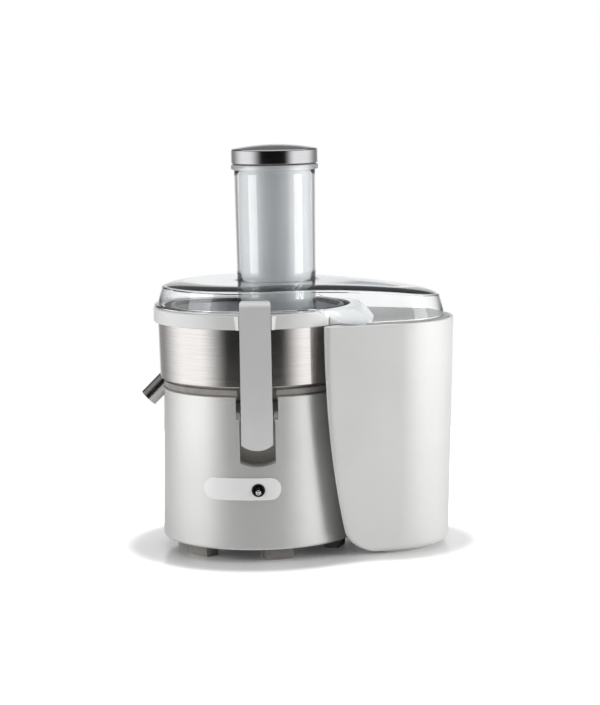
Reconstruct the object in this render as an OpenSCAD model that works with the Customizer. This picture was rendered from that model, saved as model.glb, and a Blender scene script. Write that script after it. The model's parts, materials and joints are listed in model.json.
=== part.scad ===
// Centrifugal juicer: a round motor housing, a steel bowl with a spout, a
// clear lid with a feed chute and pusher, two hinged clamps, and a tall bin
// for the pulp that stands beside the housing. Millimetres, +Z up, floor at 0.
// Each piece is drawn about the motor axis, then set so that the middle of
// the footprint is the origin. The front, with the switch, faces -Y.

/* [Housing] */
// Height of the feet
foot_h = 12.4; // [9:0.2:18]
// Number of feet
foot_count = 6; // [4:1:8]
// Width of one foot
foot_w = 29; // [20:1:34]
// Depth of one foot
foot_d = 15; // [10:1:20]
// Distance of a foot's outer face from the motor axis
foot_reach = 88; // [84:1:92]
// Direction of the first foot
foot_angle = -77; // [-85:1:-70]
// Height of the housing shell
shell_h = 153.7; // [150:0.5:158]
// Outer radius of the shell at its foot
shell_r_low = 100.6; // [99:0.2:103]
// Outer radius of the shell at its top edge
shell_r_top = 96.8; // [96:0.2:98.5]
// Wall of the shell
shell_t = 2.6; // [2:0.1:3.2]
// Rounding of the shell's foot
shell_round = 2.2; // [1:0.2:3]
// Thickness of the floor plate
plate_t = 3; // [2:0.5:4]
// Thickness of the deck under the bowl
deck_t = 3; // [2:0.5:4]
// Depth of the deck below the shell's top edge
deck_drop = 3; // [2.5:0.5:4]
// Number of screws in the floor plate
screw_count = 3; // [3:1:4]
// Shank radius of a screw
screw_r = 1.6; // [1.2:0.1:2]
// Head radius of a screw
screw_head_r = 3.4; // [3:0.1:3.8]

/* [Switch] */
// Length of the raised trim plate
trim_w = 77; // [70:1:84]
// Height of the trim plate
trim_h = 22; // [18:1:26]
// Middle of the trim plate to the left of the switch
trim_offset = 16; // [10:1:20]
// How far the trim plate stands out of the shell
trim_t = 2; // [1.2:0.2:3]
// Height of the switch above the floor
switch_z = 73.5; // [68:0.5:80]
// Outer radius of the switch cup
cup_r = 6.6; // [6:0.1:8]
// Depth of the switch cup
cup_depth = 12; // [10:1:14]
// Length of the toggle lever from its pivot
lever_len = 10.5; // [9:0.5:12]
// Radius of the lever's tip
lever_tip_r = 2.8; // [2.2:0.1:3.2]
// Lean of the lever below the level when it is off
lever_lean = 12; // [8:1:14]

/* [Clamps] */
// Width of the recess in the shell
recess_w = 35.6; // [34:0.2:38]
// Width of the recess above its step
recess_w_top = 42; // [40:0.5:46]
// Height of the recess's lowest point
recess_low = 96.4; // [92:0.2:98]
// Height of the step in the recess
recess_step = 143.7; // [142:0.1:144.5]
// Distance of the recess's back wall from the motor axis
recess_back = 74; // [70:0.5:77]
// Wall of the recess liner
liner_t = 2; // [1.5:0.1:2.5]
// Width of a clamp at its top
clamp_w_top = 30.5; // [29:0.1:32]
// Width of a clamp at its lower end
clamp_w_low = 31.2; // [29:0.1:33]
// Rounding of a clamp's upper corners
clamp_corner = 3.6; // [2:0.2:6]
// Gap between the collar and a clamp's strap
clamp_room = 1.5; // [1:0.1:2]
// Thickness of a clamp's strap
clamp_t = 5.4; // [4.6:0.1:6]
// Height of a clamp's lower end
clamp_low = 115.2; // [112:0.2:118]
// Height of the clamp's hook over the lid flange
hook_h = 10.4; // [8:0.2:12]
// Distance of the clamp pivot from the motor axis
pivot_d = 88; // [86:0.2:88.6]
// Height of the clamp pivot
pivot_z = 145.7; // [145:0.1:147]
// Radius of the clamp pin
pin_r = 2.5; // [2:0.1:3]

/* [Bowl] */
// Height of the gap that the seal ring fills under the bowl
bowl_gap = 9.9; // [9:0.1:12]
// Outer radius of the bowl at its foot
bowl_r_low = 100.5; // [100:0.1:101.2]
// Outer radius of the bowl at its top
bowl_r_top = 101.9; // [101.4:0.1:102.6]
// Height of the bowl
bowl_h = 70.2; // [68:0.2:74]
// Sheet thickness of the bowl
bowl_t = 1.3; // [1:0.1:1.6]
// Outer radius of the neck in the middle of the bowl
neck_r = 24; // [22.5:0.5:26]
// Height of the neck
neck_h = 22; // [18:1:22]
// Outer radius of the spout
spout_r = 9.5; // [8:0.5:10]
// Wall of the spout
spout_t = 1.1; // [0.8:0.1:1.5]
// Distance of the spout's mouth from the motor axis
spout_reach = 113.2; // [110:0.2:118]
// Height of the middle of the spout's mouth
spout_z = 153.6; // [150:0.2:156]
// Gap between the bowl's rim and the collar's wall
collar_room = 1.7; // [1.2:0.1:2.2]
// How far the collar reaches in over the bowl's rim
collar_lap = 6.3; // [5:0.1:7]
// Height of the collar
collar_h = 14.5; // [13:0.5:16]
// Thickness of the collar's walls
collar_t = 2.5; // [2:0.1:2.9]

/* [Basket] */
// Gap between the basket's rim and the collar's opening
basket_gap = 6.6; // [5:0.2:8]
// Radius of the basket's floor
basket_floor_r = 66; // [64:0.5:70]
// Height of the basket wall
basket_h = 37; // [34:0.5:42]
// Sheet thickness of the basket
basket_t = 0.9; // [0.6:0.1:1.2]
// Height of the rolled rim
rim_h = 6; // [4:0.2:7]
// Number of teeth in one ring of the grater
tooth_count = 16; // [8:2:24]
// Number of rings of teeth
tooth_rings = 4; // [2:1:5]

/* [Lid] */
// How far the lid's wall is set in from the collar's edge
lid_set = 4.8; // [4.4:0.1:5.4]
// Radius of the lid's nose over the bin
lid_nose_r = 58; // [52:1:62]
// Middle of the lid's nose from the motor axis
lid_nose_x = 134; // [128:1:138]
// Height of the lid's top above the collar
lid_rise = 25.9; // [24:0.1:30]
// Fall of the lid's top from the chute to its nose
lid_fall = 14.1; // [8:0.1:16]
// Lean of the lid's wall between its foot and its shoulder
wall_lean = 4.2; // [2:0.1:6]
// Rounding of the lid's shoulder
shoulder_r = 4.6; // [3:0.2:8]
// Wall of the lid
lid_t = 2.4; // [2:0.1:3]
// Width of the flange that lies on the collar
flange_w = 3.6; // [3:0.1:3.8]
// Thickness of the flange
flange_t = 2.4; // [2:0.1:3]
// Middle of the feed chute from the motor axis
chute_x = 20.8; // [16:0.2:22]
// Outer radius of the chute at its mouth
chute_r = 41.5; // [40.5:0.1:42.5]
// Lean of the chute's wall in degrees
chute_draft = 0.6; // [0.2:0.1:0.8]
// Wall of the chute
chute_t = 2.4; // [2:0.1:3]
// Height of the chute's mouth above the collar
chute_rise = 143; // [120:1:160]
// Width of the lip round the mouth
lip_w = 2.8; // [2:0.1:4]
// Height of the lip
lip_h = 5; // [3:0.5:8]

/* [Pusher] */
// Outer radius of the pusher
pusher_r = 36.6; // [35:0.2:36.8]
// Wall of the pusher
pusher_t = 2.2; // [1.6:0.1:3]
// Radius of the steel cap
cap_r = 44.1; // [43:0.1:46]
// Height of the cap's side
cap_side = 14.4; // [12:0.1:16]
// Height of the cap's crown above its side
cap_crown = 4.3; // [3:0.1:6]

/* [Bin] */
// How far the bin's rim lies below the top of the collar
bin_drop = 14.3; // [13:0.1:20]
// Distance of the bin's nose from the motor axis
bin_reach = 201.6; // [198:0.2:210]
// Radius of the bin's nose
bin_nose_r = 78; // [70:0.5:82]
// Flare of the bin's sides in degrees
bin_flare = 15; // [13:0.5:18]
// Radius of the hollow that wraps the housing
bin_hollow_r = 108.4; // [107.4:0.1:109.4]
// Lean of the bin's walls in degrees
bin_draft = 1.8; // [1:0.1:2.2]
// Wall of the bin
bin_t = 2.8; // [2:0.1:3.2]
// Height of the bin's foot ring
bin_foot = 2.6; // [1.5:0.1:4]
// Where the bin's flat side ends at the rim, from the foot of its normal
horn_top = 41.6; // [38:0.2:46]
// Where the bin's flat side would end at the floor
horn_low = 67.4; // [60:0.2:72]
// Height of the round lower corner of the bin's side
corner_h = 27; // [22:0.5:36]

/* [Hidden] */
$fn = 96;
fit = 0.05;     // running fit of a pin or shaft, and of pieces set in a hole
gap = 0.3;      // clearance between pieces that lie beside each other
cut = 1;        // how far a cutting shape runs past what it cuts

// Heights of the main joints between pieces
shell_top = foot_h + shell_h;
deck_top = shell_top - deck_drop;
deck_low = deck_top - deck_t;
bowl_z = shell_top + bowl_gap;
bowl_top = bowl_z + bowl_h;
collar_top = bowl_top + collar_t;
collar_z = collar_top - collar_h;
bin_h = collar_top - bin_drop;
collar_r = bowl_r_top + collar_room + collar_t;
collar_bore = bowl_r_top - collar_lap;
basket_r = collar_bore - basket_gap;
lid_r = collar_r - lid_set;
clamp_face = collar_r + clamp_room + clamp_t;
seal_h = 0.7;
flange_z = collar_top + seal_h;
flange_top = flange_z + flange_t;
lid_top = collar_top + lid_rise;
mouth_z = collar_top + chute_rise;
skirt_z = bin_h + 2 * gap;
spout_slope = 45;
mouth_low = spout_reach + spout_r * sin(spout_slope);
mid_x = (bin_reach - mouth_low) / 2;

// Colours
shell_grey = [0.90, 0.90, 0.89];
steel = [0.72, 0.72, 0.73];
dark_steel = [0.45, 0.45, 0.47];
dark = [0.16, 0.16, 0.17];
rubber = [0.45, 0.45, 0.45];
clear = [0.82, 0.88, 0.92, 0.45];
copper = [0.72, 0.43, 0.2];

module placed() {
  translate([-mid_x, 0, 0]) children();
}

// Copies of a piece at equal angles round the motor axis
module around(count, first) {
  for (i = [0 : count - 1]) {
    rotate([0, 0, first + i * 360 / count]) children();
  }
}

// A tube between two radii
module tube(r_out, r_in, low, high) {
  translate([0, 0, low]) difference() {
    cylinder(r = r_out, h = high - low);
    translate([0, 0, -cut]) cylinder(r = r_in, h = high - low + 2 * cut);
  }
}

// An outline in X and Z, drawn thick along Y from y_low to y_high
module upright(y_low, y_high) {
  translate([0, y_high, 0]) rotate([90, 0, 0]) linear_extrude(y_high - y_low) children();
}

// An outline in Y and Z, drawn thick along X about the middle
module sideways(width) {
  rotate([90, 0, 90]) linear_extrude(width, center = true) children();
}

// A polyhedron through rings of points. A closed one joins its last ring to
// its first, and an open one is capped at both ends.
module through_rings(rings, closed) {
  n = len(rings[0]);
  k = len(rings);
  bands = closed ? k : k - 1;
  points = [for (ring = rings) for (p = ring) p];
  sides = [
    for (j = [0 : bands - 1]) for (i = [0 : n - 1])
      let (a = j * n, b = ((j + 1) % k) * n, m = (i + 1) % n)
        each [[a + i, b + i, b + m], [a + i, b + m, a + m]]
  ];
  caps = closed ? [] : [[for (i = [0 : n - 1]) i], [for (i = [n - 1 : -1 : 0]) (k - 1) * n + i]];
  polyhedron(points = points, faces = concat(sides, caps), convexity = 8);
}

/* ---------------------------------------------------------------- housing */

shell_out = max(shell_r_low, shell_r_top);

function shell_r(z) = shell_r_low - (z - foot_h) * (shell_r_low - shell_r_top) / shell_h;

// A cone that follows the shell's outside, moved out by a distance
module shell_cone(out, low, high) {
  translate([0, 0, low]) cylinder(r1 = shell_r(low) + out, r2 = shell_r(high) + out, h = high - low);
}

// Front outline of the clamp recess: an arched foot and a wider upper part
module recess_outline(grow, top) {
  half = recess_w / 2;
  dip = 3.8;
  arch_r = (half * half + dip * dip) / (2 * dip);
  intersection() {
    translate([-half - grow, recess_low - grow])
      square([recess_w + 2 * grow, recess_step - recess_low + grow + cut]);
    translate([0, recess_low + arch_r]) circle(r = arch_r + grow);
  }
  translate([-recess_w_top / 2 - grow, recess_step - grow])
    square([recess_w_top + 2 * grow, top - recess_step + grow]);
}

module recess_cut(top) {
  upright(-shell_out - cut, -recess_back) recess_outline(0, top);
}

// The spout's way through the pieces that it passes
module spout_axis() {
  translate([-spout_reach, 0, spout_z]) rotate([0, spout_slope, 0]) children();
}

module spout_way(radius) {
  spout_axis() translate([0, 0, -spout_r - cut]) cylinder(r = radius, h = spout_len + 2 * spout_r);
}

// Inner ledge that carries the deck, open where the recess liners pass
module ledge() {
  outer = shell_r_top - shell_t + 1;
  width = recess_w_top + 2 * liner_t + 2 * gap;
  difference() {
    rotate_extrude() polygon([
      [outer - 3.6, deck_low],
      [outer, deck_low],
      [outer, deck_low - 4],
      [outer - 1.2, deck_low - 4]
    ]);
    translate([-width / 2, -shell_out, deck_low - 5]) cube([width, 2 * shell_out, 6]);
  }
}

boss_d = 84;
boss_r = 4.6;
boss_h = 22;
boss_first = foot_angle + 30;

module base_shell() {
  placed() color(shell_grey) difference() {
    union() {
      rotate_extrude() polygon([
        [shell_r_low - shell_t, foot_h],
        [shell_r_low - shell_round, foot_h],
        [shell_r_low - 0.3 * shell_round, foot_h + 0.3 * shell_round],
        [shell_r(foot_h + shell_round), foot_h + shell_round],
        [shell_r_top, shell_top - 0.8],
        [shell_r_top - 0.8, shell_top],
        [shell_r_top - shell_t, shell_top]
      ]);
      ledge();
      around(screw_count, boss_first) {
        translate([boss_d, 0, foot_h + plate_t]) cylinder(r = boss_r, h = boss_h);
        translate([boss_d, -1, foot_h + plate_t]) cube([shell_r_top - shell_t - boss_d + 1, 2, boss_h]);
      }
    }
    around(screw_count, boss_first) {
      translate([boss_d, 0, foot_h]) cylinder(r = screw_r, h = plate_t + boss_h - 2);
    }
    recess_cut(shell_top + cut);
    mirror([0, 1, 0]) recess_cut(shell_top + cut);
    spout_way(spout_r + gap);
    translate([0, -shell_r_low + cup_depth, switch_z]) rotate([90, 0, 0])
      cylinder(r = cup_r + fit, h = 2 * cup_depth);
    translate([0, shell_r_low - 10, inlet_z]) rotate([-90, 0, 0]) cylinder(r = inlet_r, h = 20);
  }
}

plate_r = shell_r_low - shell_t - gap;

module base_plate() {
  vent_w = 2.4;
  placed() color(dark) difference() {
    translate([0, 0, foot_h]) cylinder(r = plate_r, h = plate_t);
    around(screw_count, boss_first) {
      translate([boss_d, 0, foot_h - cut]) cylinder(r = screw_r + gap, h = plate_t + 2 * cut);
      translate([boss_d, 0, foot_h - cut]) cylinder(r = screw_head_r + gap, h = plate_t / 2 + cut);
    }
    for (i = [-5 : 5]) {
      translate([i * 3 * vent_w - vent_w / 2, -22, foot_h - cut]) cube([vent_w, 44, plate_t + 2 * cut]);
    }
  }
}

module feet() {
  placed() color(rubber) around(foot_count, foot_angle) intersection() {
    tube(foot_reach, foot_reach - foot_d, 0, foot_h);
    translate([foot_reach - foot_d - cut, -foot_w / 2, 0]) cube([foot_d + 2 * cut, foot_w, foot_h]);
  }
}

module base_screws() {
  placed() color(steel) around(screw_count, boss_first) translate([boss_d, 0, 0]) difference() {
    union() {
      translate([0, 0, foot_h + 0.4]) cylinder(r = screw_head_r, h = plate_t / 2 - 0.4);
      translate([0, 0, foot_h + plate_t / 2 - 0.1]) cylinder(r = screw_r, h = plate_t / 2 + boss_h - 4);
    }
    translate([-2, -0.4, foot_h]) cube([4, 0.8, 1]);
  }
}

module top_deck() {
  placed() color(dark) difference() {
    translate([0, 0, deck_low]) cylinder(r = shell_r_top - shell_t - gap / 2, h = deck_t);
    translate([0, 0, deck_low - cut]) cylinder(r = hub_r + 1.5, h = deck_t + 2 * cut);
    spout_way(spout_r + gap);
  }
}

// Grey ring in the groove between the shell and the bowl
module seal_ring() {
  foot_r = shell_r_top - shell_t - gap / 2;
  band_r = shell_r_top - 0.2;
  band_low = shell_top + 1.9;
  band_top = band_low + 5;
  inner = foot_r - 7;
  placed() color(rubber) difference() {
    rotate_extrude() polygon([
      [inner, deck_top],
      [foot_r, deck_top],
      [foot_r, band_low],
      [band_r, band_low],
      [band_r, band_top],
      [foot_r - 0.8, band_top + 0.4],
      [foot_r - 0.8, bowl_z],
      [inner, bowl_z]
    ]);
    for (side = [-1, 1]) {
      translate([-notch_w / 2, side * (inner + cut) - 20 * (1 - side), deck_top - cut])
        cube([notch_w, 40, bowl_gap + 9]);
    }
    spout_way(spout_r + gap);
  }
}

notch_w = recess_w_top - 3;

ear_r = 5;
ear_in = clamp_w_low / 2 + 1.2;

// Dark pocket behind a clamp, with the ears that hold its pin
module liner() {
  half = recess_w_top / 2 + liner_t;
  difference() {
    union() {
      difference() {
        intersection() {
          upright(-shell_out, liner_t - recess_back) recess_outline(liner_t, deck_low);
          shell_cone(-shell_t - fit, recess_low - 2 * liner_t, deck_low);
        }
        recess_cut(deck_low + cut);
      }
      for (side = [-1, 1]) {
        translate([side * (ear_in + half - 0.5) / 2, -pivot_d, pivot_z]) rotate([0, 90, 0])
          cylinder(r = ear_r, h = half - 0.5 - ear_in, center = true);
      }
    }
    pin_hole(pin_r, half);
  }
}

module pin_hole(radius, reach) {
  translate([-reach + 0.8, -pivot_d, pivot_z]) rotate([0, 90, 0]) cylinder(r = radius, h = 2 * reach - 1.6);
}

module clamp_pin() {
  half = recess_w_top / 2 + liner_t;
  pin_hole(pin_r - 0.01, half - 0.01);
}

module recess_front() {
  placed() color(dark) liner();
}

module recess_rear() {
  placed() color(dark) mirror([0, 1, 0]) liner();
}

module pin_front() {
  placed() color(steel) clamp_pin();
}

module pin_rear() {
  placed() color(steel) mirror([0, 1, 0]) clamp_pin();
}

/* ----------------------------------------------------------------- switch */

module pill(width, height) {
  half = height / 2;
  for (side = [-1, 1]) {
    translate([side * (width / 2 - half), 0]) circle(r = half);
  }
  square([width - height, height], center = true);
}

switch_face = shell_r(switch_z) + trim_t;

module switch_trim() {
  z_low = switch_z - trim_h;
  z_high = switch_z + trim_h;
  placed() color([0.95, 0.95, 0.95]) difference() {
    intersection() {
      upright(-shell_out - 2 * trim_t, -40) translate([-trim_offset, switch_z + 1]) pill(trim_w, trim_h);
      shell_cone(trim_t, z_low, z_high);
    }
    shell_cone(fit, z_low - cut, z_high + cut);
    translate([0, -60, switch_z]) rotate([90, 0, 0]) cylinder(r = cup_r + fit, h = 60);
  }
}

module switch_cup() {
  rim = 1;
  placed() color(dark) translate([0, -switch_face, switch_z]) rotate([-90, 0, 0]) difference() {
    translate([0, 0, -0.3]) cylinder(r = cup_r, h = cup_depth + 0.3);
    translate([0, 0, -cut]) cylinder(r = cup_r - rim, h = cup_depth - 1.5 + cut);
  }
}

lever_pivot = cup_depth - 5;

module switch_body() {
  placed() color(dark) translate([-8, -switch_face + cup_depth, switch_z - 9]) cube([16, 14, 18]);
}

// Polished bat lever, leaning down from a ball in the cup
module toggle_lever() {
  placed() color(steel) translate([0, -switch_face + lever_pivot, switch_z]) rotate([90 + lever_lean, 0, 0]) {
    sphere(r = 3.2, $fn = 32);
    cylinder(r1 = 1.7, r2 = lever_tip_r, h = lever_len - 1);
    translate([0, 0, lever_len - 1]) cylinder(r1 = lever_tip_r, r2 = lever_tip_r - 0.9, h = 1);
  }
}

module interlock_switch() {
  back = liner_t - recess_back;
  placed() color(dark) translate([-9, back, pivot_z - 26]) {
    cube([18, 9, 14]);
    translate([4, 3, 14]) cube([10, 1, 3]);
  }
}

board_z = foot_h + plate_t + 6;
board_x = 28;
board_w = 46;
board_d = 44;
coil_r = 7;
coil_h = 16;

module control_board() {
  placed() {
    color([0.1, 0.35, 0.2]) translate([board_x, -board_d / 2, board_z]) cube([board_w, board_d, 1.6]);
    color(copper) translate([board_x + board_w / 4, -board_d / 4, board_z + 1.6])
      cylinder(r = coil_r, h = coil_h);
    color(dark) translate([board_x + 0.6 * board_w, -board_d / 10, board_z + 1.6]) cube([12, 18, 14]);
    color(steel) for (x = [board_x + 3, board_x + board_w - 3], side = [-1, 1]) {
      translate([x, side * (board_d / 2 - 3), foot_h + plate_t])
        cylinder(r = 2, h = board_z - foot_h - plate_t);
    }
  }
}

inlet_r = 6.5;
inlet_z = 32;
lead_r = 3.7;
lead_bore = 6;

// Bushing in the back of the shell where a lead would enter: wide inside the
// shell, and narrowed to the lead's size in the sleeve outside it
module cord_inlet() {
  wall = shell_r(inlet_z);
  inside = shell_t + 6;
  placed() color(dark) translate([0, wall - inside, inlet_z]) rotate([-90, 0, 0]) difference() {
    union() {
      cylinder(r = inlet_r - fit, h = inside + 1);
      translate([0, 0, inside + 0.2]) cylinder(r = inlet_r + 2, h = 2.8);
      translate([0, 0, inside + 0.5]) cylinder(r = inlet_r, h = lead_bore);
    }
    translate([0, 0, -cut]) cylinder(r = inlet_r - 1.5, h = inside + 0.5 + cut);
    cylinder(r = lead_r, h = inside + lead_bore + 2 * cut);
  }
}

/* ------------------------------------------------------------------ motor */

shaft_r = 4;
post_d = 48;
post_r = 4;
mount_h = 6;
frame_low = foot_h + 32;
frame_top = deck_low - mount_h;
frame_t = 4;
bearing_r = 11;
bearing_h = 7;
bearing_low_z = frame_low - 1.5;
bearing_top_z = frame_top - frame_t - 1.5;
stator_r = post_d - post_r - fit;
rotor_r = 26;
stack_low = frame_low + 22;
stack_h = 44;
coil_end = 7;

module frame_plate(z) {
  translate([0, 0, z]) difference() {
    cylinder(r = post_d + 6, h = frame_t);
    translate([0, 0, -cut]) cylinder(r = bearing_r + fit / 2, h = frame_t + 2 * cut);
    around(4, 0) translate([32, 0, -cut]) cylinder(r = 11, h = frame_t + 2 * cut);
  }
}

module motor_frame() {
  placed() color(dark_steel) {
    frame_plate(frame_low);
    frame_plate(frame_top - frame_t);
    around(4, 45) translate([post_d, 0, frame_low + frame_t - 0.1])
      cylinder(r = post_r, h = frame_top - frame_low - 2 * frame_t + 0.2);
  }
}

module motor_mounts() {
  placed() color(rubber) around(4, 45) translate([post_d, 0, frame_top])
    cylinder(r = post_r + 1, h = mount_h);
}

module motor_stator() {
  placed() {
    color(dark_steel) tube(stator_r, rotor_r + 1, stack_low, stack_low + stack_h);
    color(copper) {
      tube(stator_r - 6, rotor_r + 3, stack_low - coil_end, stack_low + 0.1);
      tube(stator_r - 6, rotor_r + 3, stack_low + stack_h - 0.1, stack_low + stack_h + coil_end);
    }
  }
}

module bearing(z) {
  tube(bearing_r, shaft_r + 0.02, z, z + bearing_h);
}

module bearing_low() {
  placed() color(steel) bearing(bearing_low_z);
}

module bearing_top() {
  placed() color(steel) bearing(bearing_top_z);
}

brush_z = stack_low + stack_h + 12;
brush_w = 7;
brush_h = 8;
brush_ring_t = 6;
commutator_r = 12;

module motor_brushes() {
  placed() color(dark) {
    tube(post_d - post_r - fit, post_d - post_r - brush_ring_t, brush_z - 1, brush_z + brush_h + 1);
    for (side = [0, 180]) {
      rotate([0, 0, side]) translate([commutator_r + gap, -brush_w / 2, brush_z])
        cube([post_d - post_r - brush_ring_t + 1 - commutator_r, brush_w, brush_h]);
    }
  }
}

hub_floor = bowl_z + neck_h + 5;
shaft_top = hub_floor - 7;

module motor_shaft() {
  low = frame_low - 6;
  placed() color(steel) translate([0, 0, low]) cylinder(r = shaft_r, h = shaft_top - low);
}

module armature() {
  placed() color(copper) {
    tube(rotor_r, shaft_r, stack_low + 1, stack_low + stack_h - 1);
    tube(rotor_r - 6, shaft_r, stack_low - 4, stack_low + 1.1);
  }
}

module commutator() {
  placed() color(copper) tube(commutator_r, shaft_r, stack_low + stack_h + 6, brush_z + 11);
}

fan_z = brush_z + brush_h + 6;
fan_r = 36;
fan_hub_r = 10;
fan_top = bearing_top_z - 1;

module cooling_fan() {
  blades = 10;
  placed() color(dark) {
    tube(fan_hub_r, shaft_r, fan_z, fan_top);
    tube(fan_r, shaft_r + 4, fan_z, fan_z + 1.6);
    around(blades, 0) translate([fan_hub_r - 1, -0.8, fan_z + 1.5])
      cube([fan_r - fan_hub_r, 1.6, fan_top - fan_z - 2]);
  }
}

/* ----------------------------------------------------------------- basket */

hub_r = 17;
coupling_r = 11;
coupling_z = bowl_z + 3;
coupling_top = shaft_top;

module drive_coupling() {
  placed() color(dark) {
    tube(coupling_r - 1.6, shaft_r, coupling_z, coupling_top);
    around(6, 0) translate([coupling_r - 2.6, -1.5, coupling_z]) cube([2.5, 3, coupling_top - coupling_z]);
  }
}

module basket_hub() {
  placed() color(dark) difference() {
    translate([0, 0, coupling_z + 2]) cylinder(r = hub_r, h = hub_floor - coupling_z - 2);
    translate([0, 0, coupling_z]) cylinder(r = coupling_r + fit, h = coupling_top - coupling_z + gap);
  }
}

basket_floor_t = 2;
wall_z = hub_floor + basket_floor_t;
wall_top = wall_z + basket_h;
rim_in = basket_r - 3.4;

// Conical sieve wall with its floor
module filter_basket() {
  placed() color(steel) rotate_extrude() polygon([
    [0, hub_floor],
    [basket_floor_r, hub_floor],
    [basket_floor_r, wall_z],
    [rim_in, wall_top],
    [rim_in - basket_t, wall_top],
    [basket_floor_r - basket_t, wall_z],
    [0, wall_z]
  ]);
}

module basket_rim() {
  placed() color(dark_steel) rotate_extrude() polygon([
    [rim_in - basket_t - 1, wall_top],
    [rim_in + 0.6, wall_top],
    [rim_in + 0.6, wall_top - 2],
    [basket_r - 1, wall_top - 2],
    [basket_r, wall_top - 1],
    [basket_r, wall_top + rim_h - 3.4],
    [basket_r - 0.8, wall_top + rim_h - 3],
    [basket_r - 0.2, wall_top + rim_h - 2.4],
    [basket_r - 0.2, wall_top + rim_h - 1.2],
    [basket_r - 1.2, wall_top + rim_h],
    [rim_in - basket_t, wall_top + rim_h]
  ]);
}

disc_t = 1.6;
disc_r = basket_floor_r - basket_t - 3;

module grater_disc() {
  tooth_h = 1.3;
  first_ring = 14;
  step = (disc_r - 6 - first_ring) / (tooth_rings - 1);
  placed() color(steel) {
    translate([0, 0, wall_z]) cylinder(r = disc_r, h = disc_t);
    translate([0, 0, wall_z + disc_t - 0.1]) cylinder(r1 = 7, r2 = 4, h = 3);
    for (ring = [0 : tooth_rings - 1]) {
      around(tooth_count, ring * 11) translate([first_ring + ring * step, -0.4, wall_z + disc_t - 0.1])
        cube([3.4, 0.8, tooth_h]);
    }
  }
}

/* ------------------------------------------------------------------- bowl */

function bowl_r(z) = bowl_r_low + (z - bowl_z) * (bowl_r_top - bowl_r_low) / bowl_h;

module juice_bowl() {
  placed() color(steel) difference() {
    rotate_extrude() polygon([
      [neck_r - bowl_t, bowl_z],
      [bowl_r_low - 1, bowl_z],
      [bowl_r_low, bowl_z + 1],
      [bowl_r_top, bowl_top],
      [bowl_r_top - bowl_t, bowl_top],
      [bowl_r(bowl_z + bowl_t) - bowl_t, bowl_z + bowl_t],
      [neck_r, bowl_z + bowl_t],
      [neck_r, bowl_z + neck_h],
      [neck_r - bowl_t, bowl_z + neck_h]
    ]);
    spout_way(spout_r + 0.02);
  }
}

spout_len = 46;
spout_root = bowl_r_low - 16.5;

// Steel tube that runs down and out of the bowl's lowest edge
module juice_spout() {
  placed() color(steel) difference() {
    spout_axis() difference() {
      cylinder(r = spout_r, h = spout_len);
      translate([0, 0, -cut]) cylinder(r = spout_r - spout_t, h = spout_len + 2 * cut);
    }
    translate([0, 0, bowl_z + bowl_t])
      cylinder(r1 = bowl_r(bowl_z + bowl_t) - bowl_t, r2 = bowl_r_top - bowl_t, h = bowl_h);
    translate([0, 0, bowl_z - spout_len]) cylinder(r = spout_root, h = 2 * spout_len);
  }
}

module bowl_seal() {
  placed() color(rubber) tube(neck_r - bowl_t, hub_r + gap, bowl_z, bowl_z + 4);
}

lug_in = clamp_w_top / 2 + 1;
lug_out = lug_in + 4.8;
lug_taper = 2.4;

// Wedge on the collar beside a clamp, wider at its top
module lug(side) {
  intersection() {
    translate([0, 0, collar_z]) linear_extrude(collar_h - 1) polygon([
      [side * lug_in, -collar_r - 2],
      [side * lug_out, -collar_r * cos(12) - 0.4],
      [side * lug_out, -collar_r * cos(12) + 1.6],
      [side * lug_in, -collar_r + 2.4]
    ]);
    upright(-collar_r - 2 * cut, 0) polygon([
      [0, collar_z - cut],
      [side * (lug_out - lug_taper), collar_z - cut],
      [side * lug_out, collar_top],
      [0, collar_top]
    ]);
  }
}

// What the lid's dropping skirt takes out of the collar at the front
module skirt_notch() {
  xs = [for (i = [0 : 12]) skirt_from - 2 + i * (skirt_to - skirt_from) / 12];
  intersection() {
    upright(-collar_r - cut, 0) polygon(concat(
      [for (x = xs) [x, lid_foot(x + lid_t / 2) - seal_h]],
      [[skirt_to, collar_top + cut], [skirt_from - 2, collar_top + cut]]
    ));
    rotate([0, 0, lid_flare() - 90]) translate([lid_r - lid_t - gap, -collar_r, 0])
      cube([collar_r, 2 * collar_r, collar_top + 2 * cut]);
  }
}

module collar() {
  placed() color([0.93, 0.93, 0.93]) difference() {
    union() {
      rotate_extrude() polygon([
        [collar_bore, bowl_top],
        [collar_r - collar_t, bowl_top],
        [collar_r - collar_t, collar_z],
        [collar_r - 0.6, collar_z],
        [collar_r, collar_z + 0.6],
        [collar_r, collar_top - 0.8],
        [collar_r - 0.8, collar_top],
        [collar_bore, collar_top]
      ]);
      for (face = [0, 180], side = [-1, 1]) {
        rotate([0, 0, face]) lug(side);
      }
    }
    skirt_notch();
    mirror([0, 1, 0]) skirt_notch();
  }
}

// The outlet's rim: it leaves the collar at the back, runs out over the bin's
// inner wall and comes back to the collar along the lid's front skirt.
outlet_last = 30;
outlet_in = collar_r + fit;
outlet_inset = lid_t + 1.6;
outlet_first = acos((lid_r - outlet_inset) / (outlet_in + 1)) - 90 + lid_flare();
outlet_edge_z = skirt_z + 2.2;
outlet_t = 2;
outlet_w = 22;

function outlet_swell(a) = outlet_w * pow(max(0, (outlet_last - a) / 56), 1.5);
function outlet_skirt(a) = (lid_r - outlet_inset) / cos(90 - lid_flare() + a);
function outlet_r(a) = max(outlet_in + 0.6, min(outlet_skirt(a), outlet_in + 0.6 + outlet_swell(a)));

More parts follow.
